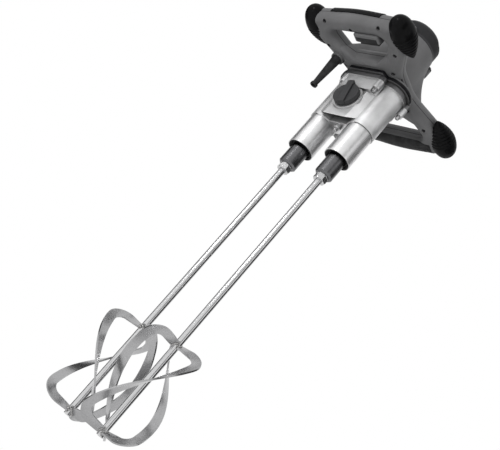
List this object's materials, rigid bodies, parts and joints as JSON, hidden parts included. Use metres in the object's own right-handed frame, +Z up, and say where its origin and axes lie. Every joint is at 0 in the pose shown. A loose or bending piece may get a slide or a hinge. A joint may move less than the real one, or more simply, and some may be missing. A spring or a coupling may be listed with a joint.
{
  "type": "mixing drill",
  "caption": "Hand-held twin-spindle paddle mixer: D handles round an upright motor, a cast gearbox with a selector knob, and counter-rotating rods with twisted ribbon paddles.",
  "frame": {"origin": "midway between the two spindle axes, level with the lower ends of the mixing rods", "axes": "+Z runs up the spindles from the paddles to the motor cap, X joins the spindles with the cord guard on -X, and -Y is the front with the selector knob and the trigger handle"},
  "size_m": [0.2442, 0.328, 0.956],
  "materials": {
    "housing": "fine moulded grain",
    "black_plastic": "satin",
    "dark_plastic": "satin",
    "rubber": "matt",
    "cast_aluminium": "bead blasted and turned",
    "aluminium": "milled",
    "steel": "bright drawn",
    "dark_steel": "blackened",
    "gear_steel": "ground",
    "iron": "laminated",
    "copper": "enamelled wire",
    "carbon": "graphite",
    "gasket": "matt"
  },
  "bodies": {
    "housing": {"lower_housing": "housing", "upper_housing": "housing", "motor_end_cap": "dark_plastic", "switch_body": "dark_plastic", "brush_holders": "dark_plastic", "front_left_bumper": "rubber", "front_right_bumper": "rubber", "rear_left_bumper": "rubber", "rear_right_bumper": "rubber", "front_soft_grip": "rubber", "rear_soft_grip": "rubber", "cord_guard": "rubber", "gearbox_case": "cast_aluminium", "gear_carrier": "aluminium", "gearbox_cover": "aluminium", "case_gasket": "gasket", "left_spindle_seal": "gasket", "right_spindle_seal": "gasket", "case_bolts": "steel", "left_lower_bearing": "steel", "right_lower_bearing": "steel", "left_upper_bearing": "steel", "right_upper_bearing": "steel", "lower_motor_bearing": "steel", "upper_motor_bearing": "steel", "idler_pin": "steel", "housing_screws": "dark_steel", "cap_screws": "dark_steel", "stator_core": "iron", "field_windings": "copper", "carbon_brushes": "carbon"},
    "armature": {"armature_shaft": "steel", "armature_core": "iron", "armature_windings": "copper", "commutator": "copper", "cooling_fan": "black_plastic", "motor_pinion": "gear_steel"},
    "layshaft": {"layshaft": "steel", "layshaft_pinion": "gear_steel", "first_gear": "gear_steel"},
    "intermediate": {"intermediate_shaft": "steel", "intermediate_pinion": "gear_steel", "second_gear": "gear_steel"},
    "idler": {"idler_gear": "gear_steel"},
    "trigger": {"trigger": "black_plastic"},
    "selector": {"selector_knob": "dark_plastic"},
    "left_spindle": {"left_mixing_rod": "steel", "left_paddle_blades": "steel", "left_lock_nut": "steel", "left_spindle": "steel", "left_chuck_collar": "dark_steel", "left_spindle_gear": "gear_steel"},
    "right_spindle": {"right_mixing_rod": "steel", "right_paddle_blades": "steel", "right_lock_nut": "steel", "right_spindle": "steel", "right_chuck_collar": "dark_steel", "right_spindle_gear": "gear_steel"}
  },
  "joints": [
    {"name": "right_spindle_spin", "type": "hinge", "parent": "housing", "child": "right_spindle", "pos_m": [0.044, 0, 0.72], "axis": [0, 0, 1], "continuous": true},
    {"name": "left_spindle_spin", "type": "hinge", "parent": "housing", "child": "left_spindle", "pos_m": [-0.044, 0, 0.72], "axis": [0, 0, 1], "continuous": true},
    {"name": "intermediate_spin", "type": "hinge", "parent": "housing", "child": "intermediate", "pos_m": [0.0115, 0.00572, 0.72], "axis": [0, 0, 1], "continuous": true},
    {"name": "idler_spin", "type": "hinge", "parent": "housing", "child": "idler", "pos_m": [-0.0115, 0.00572, 0.72], "axis": [0, 0, 1], "continuous": true},
    {"name": "layshaft_spin", "type": "hinge", "parent": "housing", "child": "layshaft", "pos_m": [0, -0.01981, 0.72], "axis": [0, 0, 1], "continuous": true},
    {"name": "armature_spin", "type": "hinge", "parent": "housing", "child": "armature", "pos_m": [0, 0, 0.72], "axis": [0, 0, 1], "continuous": true},
    {"name": "trigger_pull", "type": "slide", "parent": "housing", "child": "trigger", "axis": [0, -1, 0], "range_m": [0, 0.006], "stiffness_N_per_m": 800, "springref_m": -0.003},
    {"name": "selector_turn", "type": "hinge", "parent": "housing", "child": "selector", "pos_m": [0, -0.045, 0.735], "axis": [0, 1, 0], "range_deg": [0, 90]}
  ],
  "couplings": [
    {"joint": "left_spindle_spin", "follows": "right_spindle_spin", "ratio": -1},
    {"joint": "intermediate_spin", "follows": "right_spindle_spin", "ratio": -1.8696},
    {"joint": "idler_spin", "follows": "right_spindle_spin", "ratio": 1.8696},
    {"joint": "layshaft_spin", "follows": "right_spindle_spin", "ratio": 6.1839},
    {"joint": "armature_spin", "follows": "right_spindle_spin", "ratio": -23.049}
  ]
}
